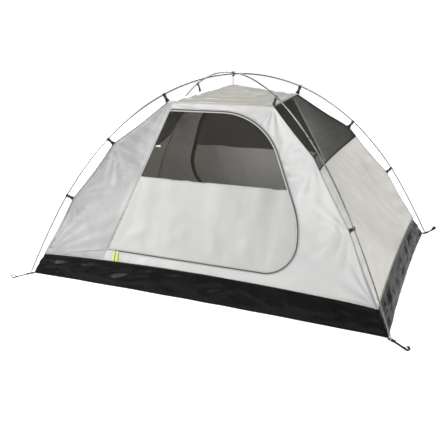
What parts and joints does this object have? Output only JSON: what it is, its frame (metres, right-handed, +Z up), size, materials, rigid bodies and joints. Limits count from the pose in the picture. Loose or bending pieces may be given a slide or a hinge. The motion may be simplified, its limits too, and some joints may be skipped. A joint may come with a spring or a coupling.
{
  "type": "dome tent",
  "caption": "Low two-pole dome tent with a bathtub floor, zipped D-shaped doors on both long sides, mesh windows and clips that hang the canopy from crossed bent poles.",
  "frame": {"origin": "on the ground, under the roof peak, at the middle of the floor", "axes": "+Z up, +X along the long side, the front door's side faces -Y"},
  "size_m": [2.5174, 1.7756, 1.23],
  "materials": {
    "canopy_fabric": "matte",
    "floor_fabric": "satin",
    "mesh": "matte",
    "zip_tape": "matte",
    "webbing": "matte",
    "pole_tube": "satin",
    "pole_fitting": "satin",
    "shock_cord": "matte",
    "black_plastic": "satin",
    "white_plastic": "satin",
    "grommet_metal": "satin",
    "zip_metal": "satin",
    "pull_webbing": "matte"
  },
  "bodies": {
    "root": {"bathtub_floor": "floor_fabric", "roof_panel": "canopy_fabric", "front_hinge_panel": "canopy_fabric", "front_sill_panel": "canopy_fabric", "front_side_panel": "canopy_fabric", "front_head_panel": "canopy_fabric", "front_zip_wall": "zip_tape", "rear_hinge_panel": "canopy_fabric", "rear_sill_panel": "canopy_fabric", "rear_side_panel": "canopy_fabric", "rear_head_panel": "canopy_fabric", "rear_zip_wall": "zip_tape", "door_hinge_seams": "canopy_fabric", "right_end_panel": "canopy_fabric", "right_end_mesh": "mesh", "left_end_panel": "canopy_fabric", "left_end_mesh": "mesh", "pole_a_tubes": "pole_tube", "pole_b_tubes": "pole_tube", "pole_shock_cords": "shock_cord", "pole_fittings": "pole_fitting", "clip_straps": "webbing", "corner_tabs": "webbing", "corner_grommets": "grommet_metal", "crown_cord": "shock_cord"},
    "front_door": {"front_door_panel": "canopy_fabric", "front_door_mesh": "mesh", "front_zip_door": "zip_tape", "front_door_ties": "black_plastic"},
    "front_left_slider": {"front_left_slider": "zip_metal"},
    "front_left_pull": {"front_left_pull": "pull_webbing"},
    "front_right_slider": {"front_right_slider": "zip_metal"},
    "front_right_pull": {"front_right_pull": "pull_webbing"},
    "front_toggle": {"front_toggle": "white_plastic"},
    "rear_door": {"rear_door_panel": "canopy_fabric", "rear_door_mesh": "mesh", "rear_zip_door": "zip_tape", "rear_door_ties": "black_plastic"},
    "rear_left_slider": {"rear_left_slider": "zip_metal"},
    "rear_left_pull": {"rear_left_pull": "pull_webbing"},
    "rear_right_slider": {"rear_right_slider": "zip_metal"},
    "rear_right_pull": {"rear_right_pull": "pull_webbing"},
    "rear_toggle": {"rear_toggle": "white_plastic"},
    "rear_right_upper_clip": {"rear_right_upper_clip": "black_plastic"},
    "rear_right_middle_clip": {"rear_right_middle_clip": "black_plastic"},
    "rear_right_lower_clip": {"rear_right_lower_clip": "black_plastic"},
    "front_left_upper_clip": {"front_left_upper_clip": "black_plastic"},
    "front_left_middle_clip": {"front_left_middle_clip": "black_plastic"},
    "front_left_lower_clip": {"front_left_lower_clip": "black_plastic"},
    "rear_left_upper_clip": {"rear_left_upper_clip": "black_plastic"},
    "rear_left_middle_clip": {"rear_left_middle_clip": "black_plastic"},
    "rear_left_lower_clip": {"rear_left_lower_clip": "black_plastic"},
    "front_right_upper_clip": {"front_right_upper_clip": "black_plastic"},
    "front_right_middle_clip": {"front_right_middle_clip": "black_plastic"},
    "front_right_lower_clip": {"front_right_lower_clip": "black_plastic"},
    "rear_right_stake_loop": {"rear_right_stake_loop": "webbing"},
    "front_left_stake_loop": {"front_left_stake_loop": "webbing"},
    "rear_left_stake_loop": {"rear_left_stake_loop": "webbing"},
    "front_right_stake_loop": {"front_right_stake_loop": "webbing"},
    "crown_hook": {"crown_hook": "black_plastic"}
  },
  "joints": [
    {"name": "front_door_hinge", "type": "hinge", "parent": "root", "child": "front_door", "pos_m": [-0.62282, -0.7128, 0.13415], "axis": [-0.286, -0.4425, -0.8499], "range_deg": [0, 100]},
    {"name": "front_left_slider_slide", "type": "slide", "parent": "root", "child": "front_left_slider", "axis": [1, 0, 0], "range_m": [0, 0.2]},
    {"name": "front_left_pull_hinge", "type": "hinge", "parent": "front_left_slider", "child": "front_left_pull", "pos_m": [-0.544, -0.67867, 0.21052], "axis": [-1, 0, 0], "range_deg": [0, 100]},
    {"name": "front_right_slider_slide", "type": "slide", "parent": "front_left_slider", "child": "front_right_slider", "axis": [1, 0, 0], "range_m": [0, 0.7]},
    {"name": "front_right_pull_hinge", "type": "hinge", "parent": "front_right_slider", "child": "front_right_pull", "pos_m": [-0.52, -0.67867, 0.21052], "axis": [-1, 0, 0], "range_deg": [0, 100]},
    {"name": "front_toggle_hinge", "type": "hinge", "parent": "front_door", "child": "front_toggle", "pos_m": [-0.3791, -0.36458, 0.8142], "axis": [0, -0.4618, -0.887], "range_deg": [0, 90]},
    {"name": "rear_door_hinge", "type": "hinge", "parent": "root", "child": "rear_door", "pos_m": [0.62282, 0.7128, 0.13415], "axis": [0.286, 0.4425, -0.8499], "range_deg": [0, 100]},
    {"name": "rear_left_slider_slide", "type": "slide", "parent": "root", "child": "rear_left_slider", "axis": [-1, 0, 0], "range_m": [0, 0.2]},
    {"name": "rear_left_pull_hinge", "type": "hinge", "parent": "rear_left_slider", "child": "rear_left_pull", "pos_m": [0.544, 0.67867, 0.21052], "axis": [1, 0, 0], "range_deg": [0, 100]},
    {"name": "rear_right_slider_slide", "type": "slide", "parent": "rear_left_slider", "child": "rear_right_slider", "axis": [-1, 0, 0], "range_m": [0, 0.7]},
    {"name": "rear_right_pull_hinge", "type": "hinge", "parent": "rear_right_slider", "child": "rear_right_pull", "pos_m": [0.52, 0.67867, 0.21052], "axis": [1, 0, 0], "range_deg": [0, 100]},
    {"name": "rear_toggle_hinge", "type": "hinge", "parent": "rear_door", "child": "rear_toggle", "pos_m": [0.3791, 0.36458, 0.8142], "axis": [0, 0.4618, -0.887], "range_deg": [0, 90]},
    {"name": "rear_right_upper_clip_hinge", "type": "hinge", "parent": "root", "child": "rear_right_upper_clip", "pos_m": [0.35735, 0.23823, 1.09257], "axis": [-0.7563, -0.5042, 0.417], "range_deg": [0, 120]},
    {"name": "rear_right_middle_clip_hinge", "type": "hinge", "parent": "root", "child": "rear_right_middle_clip", "pos_m": [0.65864, 0.43909, 0.84342], "axis": [-0.6108, -0.4072, 0.679], "range_deg": [0, 120]},
    {"name": "rear_right_lower_clip_hinge", "type": "hinge", "parent": "root", "child": "rear_right_lower_clip", "pos_m": [0.89981, 0.59987, 0.50257], "axis": [-0.4734, -0.3156, 0.8224], "range_deg": [0, 120]},
    {"name": "front_left_upper_clip_hinge", "type": "hinge", "parent": "root", "child": "front_left_upper_clip", "pos_m": [-0.35735, -0.23823, 1.09257], "axis": [0.7563, 0.5042, 0.417], "range_deg": [0, 120]},
    {"name": "front_left_middle_clip_hinge", "type": "hinge", "parent": "root", "child": "front_left_middle_clip", "pos_m": [-0.65864, -0.43909, 0.84342], "axis": [0.6108, 0.4072, 0.679], "range_deg": [0, 120]},
    {"name": "front_left_lower_clip_hinge", "type": "hinge", "parent": "root", "child": "front_left_lower_clip", "pos_m": [-0.89981, -0.59987, 0.50257], "axis": [0.4734, 0.3156, 0.8224], "range_deg": [0, 120]},
    {"name": "rear_left_upper_clip_hinge", "type": "hinge", "parent": "root", "child": "rear_left_upper_clip", "pos_m": [-0.35957, 0.23972, 1.09752], "axis": [0.7527, -0.5018, 0.4262], "range_deg": [0, 120]},
    {"name": "rear_left_middle_clip_hinge", "type": "hinge", "parent": "root", "child": "rear_left_middle_clip", "pos_m": [-0.65953, 0.43969, 0.84418], "axis": [0.6053, -0.4035, 0.6862], "range_deg": [0, 120]},
    {"name": "rear_left_lower_clip_hinge", "type": "hinge", "parent": "root", "child": "rear_left_lower_clip", "pos_m": [-0.89799, 0.59866, 0.50086], "axis": [0.4674, -0.3116, 0.8273], "range_deg": [0, 120]},
    {"name": "front_right_upper_clip_hinge", "type": "hinge", "parent": "root", "child": "front_right_upper_clip", "pos_m": [0.35957, -0.23972, 1.09752], "axis": [-0.7527, 0.5018, 0.4262], "range_deg": [0, 120]},
    {"name": "front_right_middle_clip_hinge", "type": "hinge", "parent": "root", "child": "front_right_middle_clip", "pos_m": [0.65953, -0.43969, 0.84418], "axis": [-0.6053, 0.4035, 0.6862], "range_deg": [0, 120]},
    {"name": "front_right_lower_clip_hinge", "type": "hinge", "parent": "root", "child": "front_right_lower_clip", "pos_m": [0.89799, -0.59866, 0.50086], "axis": [-0.4674, 0.3116, 0.8273], "range_deg": [0, 120]},
    {"name": "rear_right_stake_loop_hinge", "type": "hinge", "parent": "root", "child": "rear_right_stake_loop", "pos_m": [1.17261, 0.79527, 0.0027], "axis": [0.891, -0.454, 0], "range_deg": [0, 100]},
    {"name": "front_left_stake_loop_hinge", "type": "hinge", "parent": "root", "child": "front_left_stake_loop", "pos_m": [-1.17503, -0.79385, 0.0027], "axis": [-0.829, 0.5592, 0], "range_deg": [0, 100]},
    {"name": "rear_left_stake_loop_hinge", "type": "hinge", "parent": "root", "child": "rear_left_stake_loop", "pos_m": [-1.17295, 0.785, 0.0027], "axis": [0.6428, 0.766, 0], "range_deg": [0, 100]},
    {"name": "front_right_stake_loop_hinge", "type": "hinge", "parent": "root", "child": "front_right_stake_loop", "pos_m": [1.17346, -0.78438, 0.0027], "axis": [-0.6157, -0.788, 0], "range_deg": [0, 100]},
    {"name": "crown_hook_hinge", "type": "hinge", "parent": "root", "child": "crown_hook", "pos_m": [0, 0, 1.2], "axis": [-1, 0, 0], "range_deg": [0, 80]}
  ]
}
